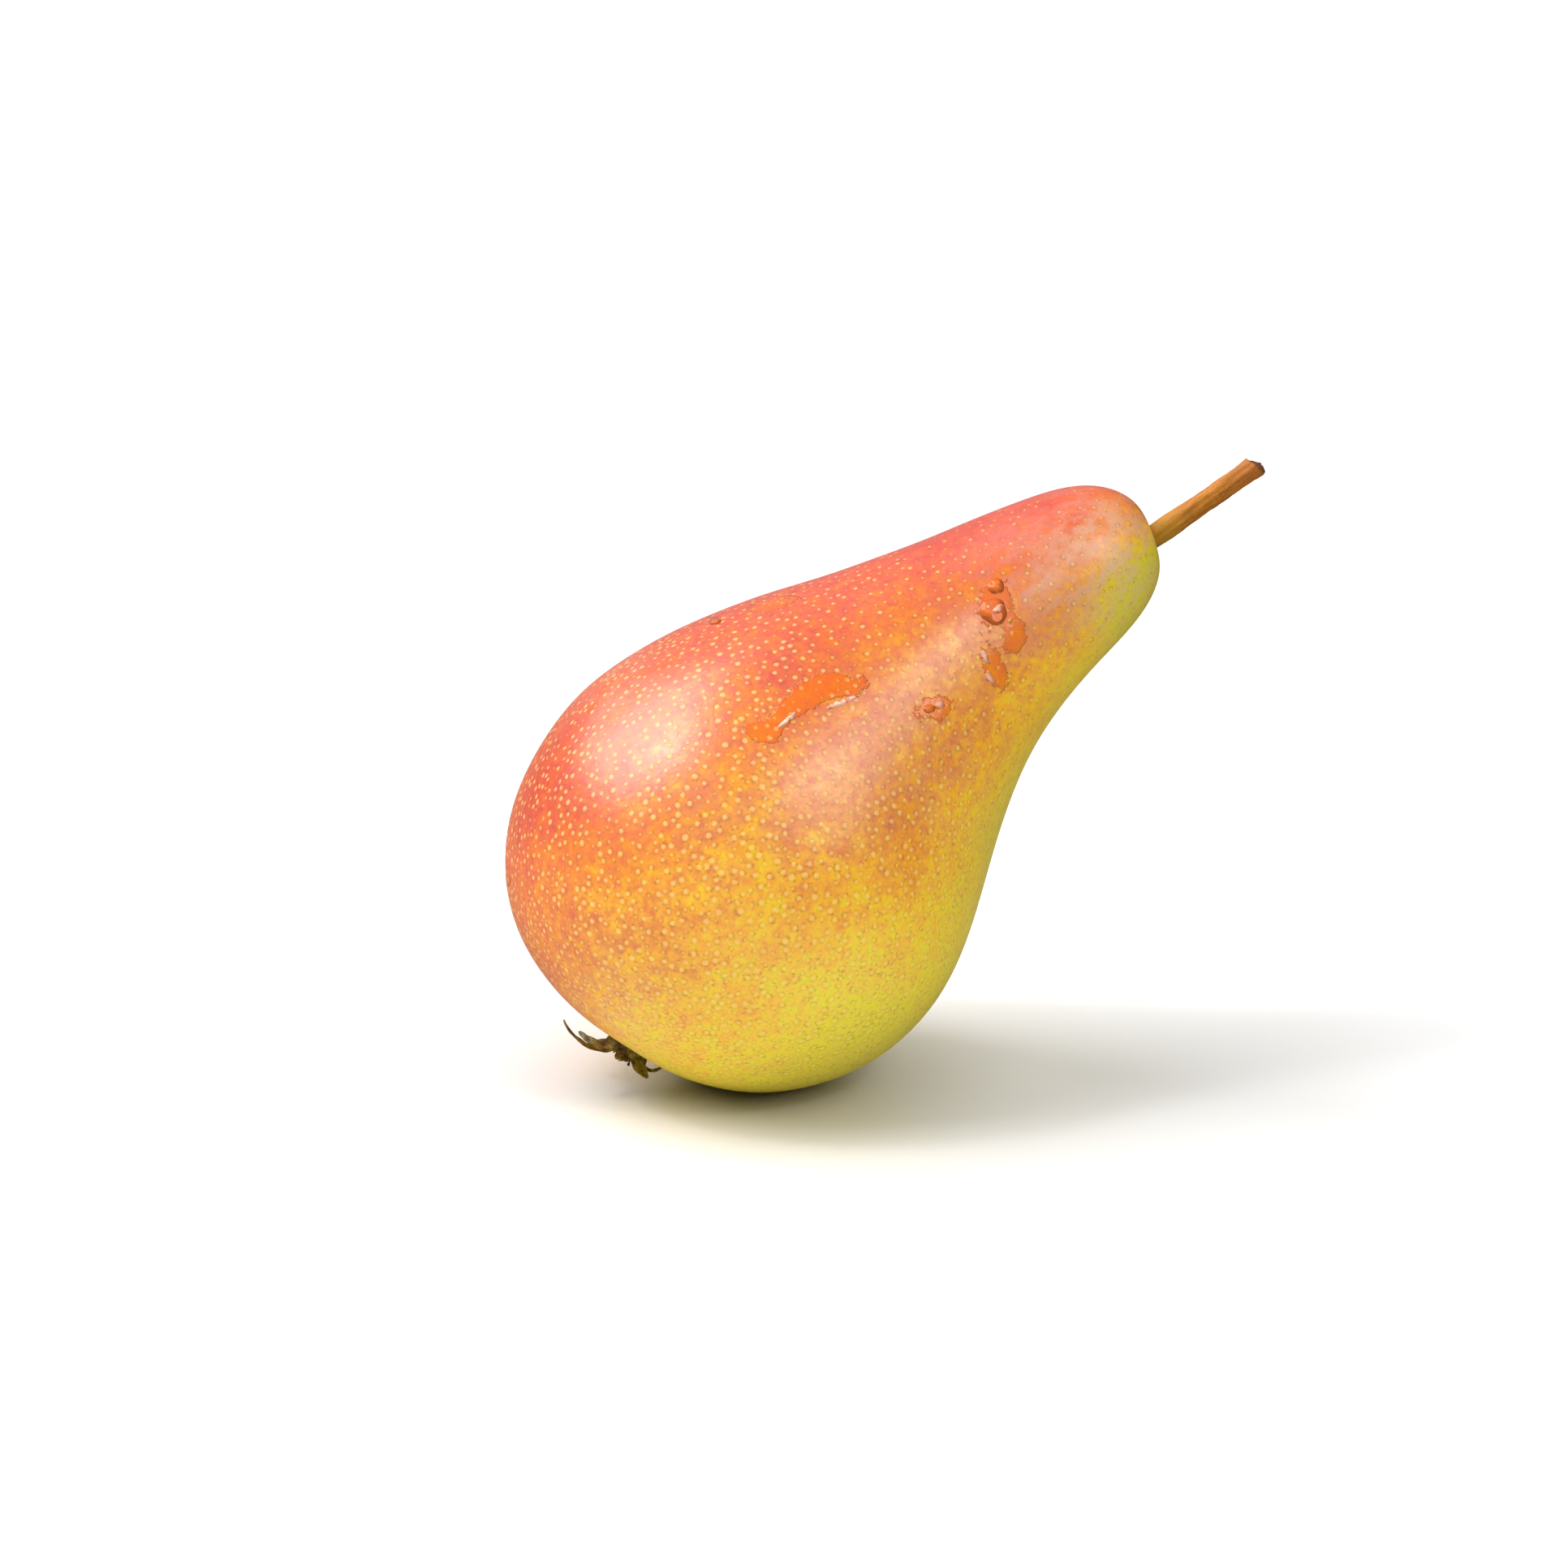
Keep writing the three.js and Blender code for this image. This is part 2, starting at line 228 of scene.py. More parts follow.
def nearest_pores(piece):
    """Stores on each face the nearest pore's centre and size, so that the finish can draw it round."""
    mesh = piece.data
    middles = np.empty(len(mesh.polygons) * 3, dtype=np.float32)
    mesh.polygons.foreach_get("center", middles)
    middles = middles.reshape(-1, 3) / MM
    nearest = np.empty(len(middles), dtype=int)
    pores = pore_places.astype(np.float32)
    for start in range(0, len(middles), FACES_AT_ONCE):
        some = slice(start, start + FACES_AT_ONCE)
        square = (pores**2).sum(1)[None, :] - 2 * middles[some] @ pores.T
        nearest[some] = square.argmin(1)
    write_attribute(piece, "pore_place", "FLOAT_VECTOR", "FACE", pore_places[nearest] * MM)
    write_attribute(piece, "pore_size", "FLOAT", "FACE", pore_sizes[nearest] * MM)


# The blush on the skin
# The side that faced the sun is red, and it passes through coral and orange to gold, and to
# green where the fruit was shaded. The patches are where this fruit has more or less of it.
BLUSH_PATCHES = (
    # right, up, how far it spreads, how much redder
    (43, 45, 7, 0.14),
    (54, 47, 5, -0.10),
    (41, 17, 5, 0.09),
    (55, 37, 7, -0.20),
    (43, 31, 9, 0.20),
    (32, 38, 9, 0.08),
    (30, 15, 9, 0.18),
    (16, 13, 9, 0.08),
    (8, 28, 9, 0.04),
    (-27, 8, 7, 0.08),
    (-27, -9, 10, -0.07),
    (-1, 3, 8, -0.05),
    (-18, -6, 10, -0.12),
    (-14, -24, 9, -0.22),
    (24, 1, 8, 0.14),
    (-1, -6, 9, -0.12),
    (10, -2, 8, 0.08),
    (9, -14, 9, -0.06),
    (12, -28, 14, -0.16),
)
GREEN_PATCHES = (
    # right, up, how far it spreads, how much greener
    (54, 36, 8, 0.70),
    (42, 20, 8, 0.10),
    (37, 1, 7, 0.24),
    (20, -27, 9, 0.25),
    (6, -33, 8, 0.20),
)
FILM_PATCHES = (
    # right, up, half its length, half its width, tilt in degrees
    (4.6, 33.8, 4.2, 1.1, 12),
    (13.4, 22.4, 4.6, 1.9, 4),
    (9.0, 21.2, 3.6, 1.8, 32),
    (5.2, 17.8, 3.0, 1.5, 38),
    (3.0, 16.2, 2.6, 1.3, -20),
    (34.2, 33.8, 2.7, 3.9, 8),
    (26.0, 19.6, 3.0, 2.0, 12),
    (34.0, 25.0, 1.6, 3.8, 24),
    (37.0, 29.0, 1.5, 2.5, -8),
)
# Pale patches of waxy bloom; some of them, where the lamps' haze lies on the skin, are painted sheen.
BLOOM_AND_SHEEN_PATCHES = (
    # right, up, how far it spreads, how much waxy bloom and painted sheen
    (50, 41, 8, 0.70),
    (40, 34, 8, 0.34),
    (24, 12, 10, 0.16),
    (-18, -21, 7, 0.24),
    (-17, 23, 6, 0.30),
    (-1, 6, 9, 0.12),
)
BLUSH_AMID, BLUSH_SUNWARD, BLUSH_BEHIND = 0.48, 0.42, -0.12
GREEN_SHADED, GREEN_SHADED_FROM, GREEN_BEHIND = 0.5, 0.15, 0.25
BLOOM_AND_SHEEN_ALL_OVER = 0.06
PATCH_AT_EDGE, PATCH_TO_FRONT, PATCH_BEHIND = 0.5, 1.5, 0.15
STREAK_STRETCH = 0.62
CORE_STEPS = 200


def skin_looks(points):
    """How red, green, dulled by bloom and painted sheen, and wet the skin is at each point: the blush
    follows the side of the core that a point lies on, and patches fade with distance and towards the
    back. A film of water is oval: its place is turned by its tilt, as a complex number."""
    shares = np.linspace(0, 1, CORE_STEPS)
    core = bezier(CORE, shares)
    flat = points.reshape(-1, 3)
    near = ((flat[:, None, :] - core[None, :, :]) ** 2).sum(-1).argmin(1)
    along = bezier_direction(CORE, shares[near])
    away = unit(flat - core[near])
    sunward = (away * np.cross(FRONT, along)).sum(1)
    front = (away @ FRONT).clip(-1, 1)
    behind = np.clip(-front, 0, 1)
    blush = BLUSH_AMID + BLUSH_SUNWARD * sunward + BLUSH_BEHIND * behind
    green = GREEN_SHADED * np.clip(-sunward - GREEN_SHADED_FROM, 0, 1) + GREEN_BEHIND * behind
    right, up = (flat - BULB_CENTRE) @ RIGHT, (flat - BULB_CENTRE) @ UP
    seen = np.clip(PATCH_AT_EDGE + PATCH_TO_FRONT * front, PATCH_BEHIND, 1)
    looks = [blush, green, np.full(len(flat), BLOOM_AND_SHEEN_ALL_OVER)]
    for look, patches in zip(looks, (BLUSH_PATCHES, GREEN_PATCHES, BLOOM_AND_SHEEN_PATCHES)):
        for x, y, spread, amount in patches:
            look += seen * amount * np.exp(-((right - x) ** 2 + (up - y) ** 2) / spread**2)
    film = np.zeros(len(flat))
    for x, y, long, wide, tilt in FILM_PATCHES:
        way = np.exp(-1j * math.radians(tilt)) * (right - x + 1j * (up - y))
        film += seen * np.exp(-((way.real / long) ** 2) - (way.imag / wide) ** 2)
    return [look.clip(0, 1) for look in (*looks, film)]


def skin_attributes(piece, points):
    """The skin's looks, and the place drawn out along the core that streaks follow."""
    flat = np.asarray(points).reshape(-1, 3)
    lengthwise = unit(CORE[-1] - CORE[0])
    drawn = flat - STREAK_STRETCH * (flat @ lengthwise)[:, None] * lengthwise
    for name, look in zip(("blush", "green", "bloom", "film"), skin_looks(flat)):
        write_attribute(piece, name, "FLOAT", "POINT", look)
    write_attribute(piece, "drawn", "FLOAT_VECTOR", "POINT", drawn * MM)
    nearest_pores(piece)


skin_attributes(fruit, fruit_points)


def colour(red, green, blue):
    """A colour seen on a screen, 0 to 255, as the light it stands for, by the sRGB curve."""
    shares = np.array([red, green, blue]) / 255
    light = np.where(shares > 0.04, ((shares + 0.055) / 1.055) ** 2.4, shares / 12.92)
    return (*light.tolist(), 1.0)


class Wire:
    """A value, colour or vector on its way through a finish. Sums with it add the nodes they need."""

    def __init__(self, finish, socket):
        self.finish, self.socket = finish, socket

    def __add__(self, other):
        return self.finish.maths("ADD", self, other)

    def __sub__(self, other):
        return self.finish.maths("SUBTRACT", self, other)

    def __rsub__(self, other):
        return self.finish.maths("SUBTRACT", other, self)

    def __mul__(self, other):
        return self.finish.maths("MULTIPLY", self, other)

    def __truediv__(self, other):
        return self.finish.maths("DIVIDE", self, other)

    __radd__ = __add__
    __rmul__ = __mul__


class Finish:
    """The nodes of a material or of the world, added one call at a time round its own shader."""

    def __init__(self, owner, shader="Principled BSDF", **constants):
        owner.use_nodes = True
        self.owner = owner
        self.nodes = owner.node_tree.nodes
        self.shader = self.nodes[shader]
        for socket, value in constants.items():
            self.shader.inputs[socket.replace("_", " ")].default_value = value

    def node(self, kind, settings=(), sockets=(), out=0):
        """Adds a node: its settings, a ramp's stops among them, then its sockets' values or links."""
        made = self.nodes.new(kind)
        for name, value in dict(settings).items():
            if name == "stops":
                stops = made.color_ramp.elements
                while len(stops) < len(value):
                    stops.new(1.0)
                for stop, (place, tint) in zip(stops, value):
                    stop.position = place
                    stop.color = tint
            else:
                setattr(made, name, value)
        for name, value in dict(sockets).items():
            self.set(made.inputs[name], value)
        return Wire(self, made.outputs[out])

    def set(self, socket, value):
        """Links a wire to a socket, or gives the socket a constant value."""
        if isinstance(value, Wire):
            self.owner.node_tree.links.new(value.socket, socket)
        else:
            socket.default_value = value

    def feed(self, socket, value):
        """Feeds one of the shader's own sockets."""
        self.set(self.shader.inputs[socket], value)

    def maths(self, operation, first, second=0.0):
        """One sum of one or two values."""
        return self.node("ShaderNodeMath", {"operation": operation}, {0: first, 1: second})

    def place(self):
        """The point's place on the object, in metres."""
        return self.node("ShaderNodeTexCoord", out="Object")

    def attribute(self, name, out="Fac"):
        """A value stored on the mesh."""
        return self.node("ShaderNodeAttribute", {"attribute_name": name}, out=out)

    def noise(self, where, size, detail=2.0, rough=0.5):
        """Cloudy noise about 0.5, with clouds of about the given size in millimetres."""
        sockets = {"Vector": where, "Scale": 1 / (size * MM), "Detail": detail, "Roughness": rough}
        return self.node("ShaderNodeTexNoise", {}, sockets)

    def distance(self, first, second=(0, 0, 0)):
        """How far apart two places are."""
        sockets = {0: first, 1: second}
        return self.node("ShaderNodeVectorMath", {"operation": "DISTANCE"}, sockets, out="Value")

    def part(self, vector, letter):
        """The X, Y or Z part of a vector."""
        return self.node("ShaderNodeSeparateXYZ", {}, {0: vector}, out=letter)

    def seen_by(self, ray):
        """1 where light is looked up by a camera ray or by a glossy one, and 0 elsewhere."""
        return self.node("ShaderNodeLightPath", out=f"Is {ray} Ray")

    def ease(self, value, low, high):
        """0 below low, 1 above high, and an eased step between."""
        settings = {"interpolation_type": "SMOOTHSTEP", "clamp": True}
        return self.node("ShaderNodeMapRange", settings, {0: value, 1: low, 2: high, 3: 0.0, 4: 1.0})

    def ramp(self, value, stops):
        """A colour for each value, eased between the named stops."""
        return self.node("ShaderNodeValToRGB", {"stops": stops}, {0: value})

    def mix(self, share, first, second):
        """The first colour with a share of the second laid over it."""
        settings = {"data_type": "RGBA", "blend_type": "MIX", "clamp_factor": True}
        return self.node("ShaderNodeMix", settings, {0: share, 6: first, 7: second}, out=2)

    def bump(self, height, depth, under=None):
        """A normal from a height of 0 to 1, for a depth in millimetres."""
        sockets = {"Height": height, "Distance": depth * MM, "Strength": 1.0}
        if under is not None:
            sockets["Normal"] = under
        return self.node("ShaderNodeBump", {}, sockets)


BLUSH_STOPS = [
    (0.00, colour(236, 218, 48)),
    (0.18, colour(247, 202, 46)),
    (0.34, colour(250, 178, 44)),
    (0.50, colour(238, 146, 46)),
    (0.64, colour(228, 120, 50)),
    (0.78, colour(222, 98, 58)),
    (0.90, colour(214, 80, 58)),
    (1.00, colour(204, 62, 52)),
]
GREEN_SKIN = colour(214, 206, 56)
# The pale colour of the waxy bloom, also used as painted sheen.
BLOOM_AND_SHEEN = colour(226, 182, 146)
PORE_CREAM = colour(250, 212, 128)
PORE_RIM = colour(150, 108, 24)
WET_SKIN = colour(242, 112, 30)
WET_RIM = colour(206, 96, 30)
# A pale colour painted on some drops as glints, standing in for the lamps' highlights.
GLINT_PAINT = colour(250, 218, 204)
SKIN_IOR, WATER_IOR = 1.6, 1.33
CLOUD_SIZE, MOTTLE_SIZE, STREAK_SIZE = 9, 2.6, 2.6
GRAIN_SIZE, FINE_SIZE, FLECK_SIZE = 1.3, 0.8, 0.55
FAINT_PORE, CLEAR_PORE = 0.15, 0.38
WAX_BUMP, PORE_BUMP = 0.08, 0.14


def skin_finish(name, wet=False):
    """The skin's finish, dry or under a film of water: the blush broken up by clouds and streaks,
    pores drawn round their stored centres, and a waxy gloss."""
    finish = Finish(bpy.data.materials.new(name), IOR=WATER_IOR if wet else SKIN_IOR)
    place = finish.place()
    clouds = finish.noise(place, CLOUD_SIZE, 3.0, 0.55)
    mottles = finish.noise(place, MOTTLE_SIZE, 3.0, 0.6)
    streaks = finish.noise(finish.attribute("drawn", "Vector"), STREAK_SIZE, 3.0, 0.6)
    fine = finish.noise(place, FINE_SIZE, 3.0, 0.65)
    grains = finish.noise(place, GRAIN_SIZE, 2.0, 0.6)
    speckle = (mottles - 0.5) * 0.30 + (grains - 0.5) * 0.45 + (fine - 0.5) * 0.30
    blush = finish.attribute("blush")
    broken = blush + (clouds - 0.5) * 0.28 + (streaks - 0.5) * 0.36 + speckle
    tint = finish.ramp(broken, BLUSH_STOPS)
    green = finish.attribute("green") + (mottles - 0.5) * 0.4 + (streaks - 0.5) * 0.4
    tint = finish.mix(finish.ease(green, 0.2, 0.9) * 0.8, tint, GREEN_SKIN)
    # Waxy bloom, and painted sheen standing in for the lamps' haze where the patches lie.
    bloom = finish.attribute("bloom") * finish.ease(streaks + (grains - 0.5) * 0.7, 0.28, 0.66)
    tint = finish.mix(bloom, tint, BLOOM_AND_SHEEN)

    # Each pore is a pale disc with a dull rim, uneven at its edge and fainter where it is small.
    centre = finish.attribute("pore_place", "Vector")
    size = finish.attribute("pore_size")
    reach = finish.distance(place, centre) / size + (fine - 0.5) * 0.9
    strength = finish.ease(size, FAINT_PORE * MM, CLEAR_PORE * MM)
    pore = (1 - finish.ease(reach, 0.4, 1.15)) * (0.3 + strength * 0.7)
    rim = finish.ease(reach, 0.7, 1.3) * (1 - finish.ease(reach, 1.3, 2.4))
    flecks = finish.ease(finish.noise(place, FLECK_SIZE, 2.0, 0.6), 0.48, 0.72)
    tint = finish.mix(rim * (0.12 + flecks * 0.3) + flecks * 0.16, tint, PORE_RIM)
    shown = 0.30 + finish.ease(blush, 0.10, 0.42) * 0.26
    tint = finish.mix(pore * shown, tint, PORE_CREAM)

    # Drops redden the skin under them, and films on the dry skin do too and take away its dullness.
    if wet:
        tint = finish.mix(0.55, tint, WET_SKIN)
        tint = finish.mix(finish.attribute("rim") * 0.4, tint, WET_RIM)
        # Painted glints: pale patches on some drops that stand in for highlights.
        pale = finish.attribute("pale") * finish.ease(grains, 0.40, 0.52)
        tint = finish.mix(pale, tint, GLINT_PAINT)
        finish.feed("Roughness", 0.03 + mottles * 0.02)
    else:
        depth = finish.attribute("film") + (mottles - 0.5) * 0.9 + (fine - 0.5) * 0.7
        film = finish.ease(depth, 0.48, 0.62)
        edge = film * (1 - finish.ease(depth, 0.62, 0.80))
        tint = finish.mix(film * (0.34 + grains * 0.4) * (1 - pore * 0.5), tint, WET_SKIN)
        tint = finish.mix(edge * 0.3, tint, WET_RIM)
        dull = 0.18 + (mottles - 0.5) * 0.14 + pore * 0.12 + bloom * 0.2
        finish.feed("Roughness", 0.14 + dull * (1 - film))
        wax = finish.bump(fine * 0.35 + mottles, WAX_BUMP)
        finish.feed("Normal", finish.bump(pore * 0.2 + film, PORE_BUMP, wax))
    finish.feed("Base Color", tint)
    return finish.owner


fruit.data.materials.append(skin_finish("pear_skin"))
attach(fruit, "root")
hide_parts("fruit")

# The water on the skin
# Water lies in thin films, which the skin's finish draws, with low rounded drops on them. It hides
# the waxy haze, so that the skin shows through it deeper in colour, and it glints: partly from the
# lamps, and partly from glints painted pale on some drops.
WATER_DROPS = (
    # right, up, half its length, half its width, tilt in degrees, thickness, raggedness, how much
    # painted glint
    (13.6, 20.3, 2.3, 0.36, 20, 0.24, 0.16, 0.75),
    (6.5, 17.9, 1.5, 0.32, 38, 0.22, 0.20, 0.75),
    (34.0, 32.6, 1.9, 1.7, 10, 0.12, 0.14, 0.0),
    (34.6, 32.9, 0.8, 0.5, 30, 0.16, 0.24, 0.55),
    (34.4, 36.0, 1.0, 1.1, 0, 0.08, 0.20, 0.0),
    (25.2, 19.5, 0.8, 0.6, 16, 0.10, 0.10, 0.0),
    (26.6, 20.0, 0.7, 0.5, 0, 0.10, 0.10, 0.4),
    (32.8, 26.6, 0.35, 1.3, 30, 0.16, 0.24, 0.6),
    (33.5, 23.6, 0.3, 1.1, 38, 0.14, 0.24, 0.5),
    (-3.2, 31.4, 0.9, 0.5, 10, 0.10, 0.2, 0.0),
    (-31.6, -3.6, 0.6, 0.8, 0, 0.24, 0.1, 0.0),
)
WATER_RINGS, WATER_SIDES = 26, 88
WATER_SINK, WATER_RIPPLE = 0.03, 0.3
CORE_STEPS_FOR_DROPS = 3000


def front_place(right, up):
    """The share and angle of the front skin's point over a place in the leaning plane: the core's
    nearest point, and the angle whose cosine is the distance from it over the girth."""
    places = BULB_CENTRE + right[..., None] * RIGHT + up[..., None] * UP
    shares = np.linspace(0.002, 0.998, CORE_STEPS_FOR_DROPS)
    core = bezier(CORE, shares)
    nearest = ((places[..., None, :] - core) ** 2).sum(-1).argmin(-1)
    share = shares[nearest]
    upper = np.cross(FRONT, bezier_direction(CORE, share))
    across = ((places - core[nearest]) * upper).sum(-1)
    return share, np.arccos(np.clip(across / girth_at(share), -0.999, 0.999))


def skin_normal(share, angle):
    """The outward direction of the skin, square to its two slopes."""
    step = 0.002
    along = skin(share + step, angle) - skin(share - step, angle)
    around = skin(share, angle + step) - skin(share, angle - step)
    return unit(np.cross(along, around))


def water_drop(right, up, long, wide, tilt, thick, ragged):
    """A low lens on the skin: rings of a ragged oval laid on it and raised by a height that falls
    off towards the rim."""
    random = np.random.default_rng(int(100 * abs(right) + abs(up)))
    phases = random.uniform(0, 2 * math.pi, 3)
    out = np.linspace(0.04, 1, WATER_RINGS)[:, None]
    turn = turns_round(WATER_SIDES)
    wobble = sum(np.sin(order * turn + phase) / order for order, phase in zip((2, 3, 5), phases))
    oval_x = long * out * (1 + ragged * wobble) * np.cos(turn)
    oval_y = wide * out * (1 + ragged * wobble) * np.sin(turn)
    tilt = math.radians(tilt)
    x = right + oval_x * math.cos(tilt) - oval_y * math.sin(tilt)
    y = up + oval_x * math.sin(tilt) + oval_y * math.cos(tilt)
    share, angle = front_place(x, y)
    ripples = 1 + WATER_RIPPLE * waves(np.stack([x, y, 0 * x], -1), 2.4, 17)
    height = thick * (1 - out**2) ** 0.9 * ripples - WATER_SINK
    rings = (skin(share, angle) + height[..., None] * skin_normal(share, angle))[::-1]
    return rings, np.broadcast_to(out[::-1], share.shape)


def merged(parts):
    """Several tubes of rings, each with its two poles, as one list of points and one of faces."""
    points, faces, count = [], [], 0
    for rings, poles in parts:
        tube = tube_faces(*rings.shape[:2])
        faces += [[corner + count for corner in face] for face in tube]
        points += [rings.reshape(-1, 3), poles]
        count += rings.size // 3 + len(poles)
    return np.concatenate(points), faces


water_parts, water_rims, water_painted_glints = [], [], []
for *drop, pale in WATER_DROPS:
    rings, outward = water_drop(*drop)
    water_parts.append((rings, np.stack([rings[0].mean(0), rings[-1].mean(0)])))
    water_rims += [outward.ravel() ** 5, np.zeros(2)]
    water_painted_glints.append(np.full(outward.size + 2, pale))
water_points, water_faces = merged(water_parts)
water = new_piece("water", water_points, water_faces)
skin_attributes(water, water_points)
write_attribute(water, "rim", "FLOAT", "POINT", np.concatenate(water_rims))
# How much painted glint, a pale patch standing in for a highlight, each drop carries.
write_attribute(water, "pale", "FLOAT", "POINT", np.concatenate(water_painted_glints))
water.data.materials.append(skin_finish("wet_skin", wet=True))
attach(water, "root")

# The stalk
# The woody stalk is golden brown and ridged lengthwise, olive where it leaves the flesh. Its far
# end swells where it once joined the twig, and is slanting, dark and rough where it came off.
STALK_LENGTH, STALK_SUNK = 16.8, 6.0
STALK_RADIUS, STALK_LIFT, STALK_FLARE = 1.45, 0.25, 0.14
STALK_SLANT, STALK_SLANT_FROM = 0.6, 0.86
ROOT_SWELLING, TIP_SWELLING = (0.27, 0.12), (1.0, 0.1)
STALK_TWIST, STALK_STRETCH = 0.7, 0.85
STALK_ROUNDED, STALK_EDGE = 0.03, 0.80
TIP_ROUGHNESS, TIP_DOME = 0.22, 0.45
STALK_RINGS, STALK_SIDES, TIP_RINGS = 230, 96, 10
BARK_STREAK, BARK_SPECK = 0.55, 0.35
DRY_IOR = 1.4
STALK_UP = np.cross(FRONT, STALK_OUT)
STALK_LINE = np.array([
    STALK_ROOT - STALK_SUNK * STALK_OUT,
    STALK_ROOT + STALK_LENGTH / 2 * STALK_OUT,
    STALK_ROOT + STALK_LENGTH * STALK_OUT + STALK_LIFT * STALK_UP,
])


def stalk_surface(share, angle):
    """A point of the stalk: its line's point at a share, moved out at an angle by a radius that
    swells at both ends and carries ridges and small knots. The far end slants back at the top."""
    share, angle = np.broadcast_arrays(share, angle)
    along = bezier_direction(STALK_LINE, share)
    upper = np.cross(FRONT, along)
    swell = sum(np.exp(-(((share - at) / over) ** 2)) for at, over in (ROOT_SWELLING, TIP_SWELLING))
    twist = angle + STALK_TWIST * share
    ridges = 0.03 * np.cos(5 * twist) + 0.014 * np.cos(11 * twist + 1)
    ridges = ridges + 0.008 * np.cos(23 * twist + 4 * share)
    out = np.cos(angle)[..., None] * upper + np.sin(angle)[..., None] * FRONT
    centre = bezier(STALK_LINE, share)
    even = centre + STALK_RADIUS * out
    knots = 0.03 * waves(even, 3.2, 5) + 0.015 * waves(even, 1.1, 6)
    radius = STALK_RADIUS * (1 + STALK_FLARE * swell + ridges + knots)
    edge = np.sqrt(np.clip((1 - share) / STALK_ROUNDED, 0, 1))
    slant = STALK_SLANT * np.clip((share - STALK_SLANT_FROM) / (1 - STALK_SLANT_FROM), 0, 1) ** 2
    back = (slant * (1 + np.cos(angle)))[..., None] * STALK_OUT
    return centre + (radius * (STALK_EDGE + (1 - STALK_EDGE) * edge))[..., None] * out - back


def tip_surface(rim):
    """The far end: the last ring drawn in to its middle, on a low dome with a rough surface."""
    centre = rim.mean(0)
    inward = np.linspace(1, 0, TIP_RINGS + 2)[1:-1, None, None]
    flat = centre + (rim - centre) * inward
    height = TIP_DOME + TIP_ROUGHNESS * waves(flat, 0.9, 8)
    return flat + (height * (1 - inward[..., 0] ** 2))[..., None] * STALK_OUT


stalk_shares = np.linspace(0, 1, STALK_RINGS)
stalk_side = stalk_surface(stalk_shares[:, None], turns_round(STALK_SIDES))
stalk_tip = tip_surface(stalk_side[-1])
stalk_rings = np.concatenate([stalk_side, stalk_tip])
stalk_poles = np.stack([STALK_LINE[0], stalk_tip[-1].mean(0)])
stalk_points = np.concatenate([stalk_rings.reshape(-1, 3), stalk_poles])
stalk = new_piece("stalk_bark", stalk_points, tube_faces(len(stalk_rings), STALK_SIDES))
from_root = stalk_points - STALK_ROOT
stalk_far = (from_root @ STALK_OUT)[:, None] * STALK_OUT
side_shares = np.repeat(stalk_shares, STALK_SIDES)
tip_shares = np.ones(stalk_tip.size // 3)
write_attribute(stalk, "along", "FLOAT", "POINT", from_root @ STALK_OUT / STALK_LENGTH)
write_attribute(stalk, "burnt", "FLOAT", "POINT", np.concatenate([side_shares, tip_shares, [0, 1]]))
write_attribute(stalk, "upper", "FLOAT", "POINT", from_root @ STALK_UP / STALK_RADIUS)
stalk_drawn = stalk_points - STALK_STRETCH * stalk_far
write_attribute(stalk, "drawn", "FLOAT_VECTOR", "POINT", stalk_drawn * MM)


def bark_finish():
    """Golden bark with lengthwise streaks, olive at the root and dark brown at the far end."""
    finish = Finish(bpy.data.materials.new("stalk_bark"), IOR=DRY_IOR)
    streaks = finish.noise(finish.attribute("drawn", "Vector"), BARK_STREAK, 4.0, 0.6)
    specks = finish.noise(finish.place(), BARK_SPECK, 2.0, 0.6)
    along = finish.attribute("along")
    tone = streaks + (specks - 0.5) * 0.35 + finish.attribute("upper") * 0.10
    tint = finish.ramp(tone, [
        (0.25, colour(132, 78, 8)),
        (0.45, colour(170, 104, 14)),
        (0.60, colour(190, 120, 30)),
        (0.80, colour(208, 136, 70)),
    ])
    olive = (1 - finish.ease(along + (streaks - 0.5) * 0.2, 0.02, 0.34)) * 0.75
    tint = finish.mix(olive, tint, colour(172, 124, 18))
    russet = finish.ease(along + (streaks - 0.5) * 0.3, 0.5, 0.95)
    tint = finish.mix(russet * 0.5, tint, colour(176, 96, 42))
    burnt = finish.ease(finish.attribute("burnt") + (specks - 0.5) * 0.08, 0.95, 0.995)
    tint = finish.mix(burnt * 0.85, tint, colour(92, 52, 30))
    finish.feed("Base Color", tint)
    finish.feed("Roughness", 0.52 + specks * 0.2)
    finish.feed("Normal", finish.bump(streaks + specks * 0.5, 0.06))
    return finish.owner


stalk.data.materials.append(bark_finish())
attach(stalk, "root")
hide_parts("stem")

# The calyx
# The dried remains of the flower's cup and its five sepals, thin, curled and brittle. They are
# dark olive brown, and grey with fine down towards their tips.
CUP_RADIUS, CUP_MOUTH, CUP_TOP, CUP_FLOOR, CUP_BASE = 3.0, 1.95, 1.3, -0.7, -3.4
SEPALS = (
    # turn in degrees, reach, rise, height of the tip, width at the root, twist
    (-46, 10.0, 2.2, 2.2, 3.0, 1.1),
    (30, 10.8, 2.9, 0.9, 4.0, -0.15),
    (90, 4.6, 1.7, 1.7, 2.6, 0.4),
    (139, 5.8, 1.6, 2.3, 4.0, 0.3),
    (216, 6.8, 1.9, 0.5, 2.2, 0.3),
)
SEPAL_RINGS, SEPAL_SIDES = 60, 28
SEPAL_NARROWING, SEPAL_WAVINESS, SEPAL_TIP = 0.82, 0.10, 0.06
SEPAL_DEPTH, SEPAL_THINNING, SEPAL_CURL = 0.26, 0.16, 0.14
MIDRIB_HEIGHT, MIDRIB_WIDTH = 0.10, 0.22
SEPAL_ROUGHNESS, DOWN_FROM, DOWN_TO = 0.07, 5.6, 9
CUP_RINGS, CUP_SIDES, CUP_ROUGHNESS = 90, 120, 0.16
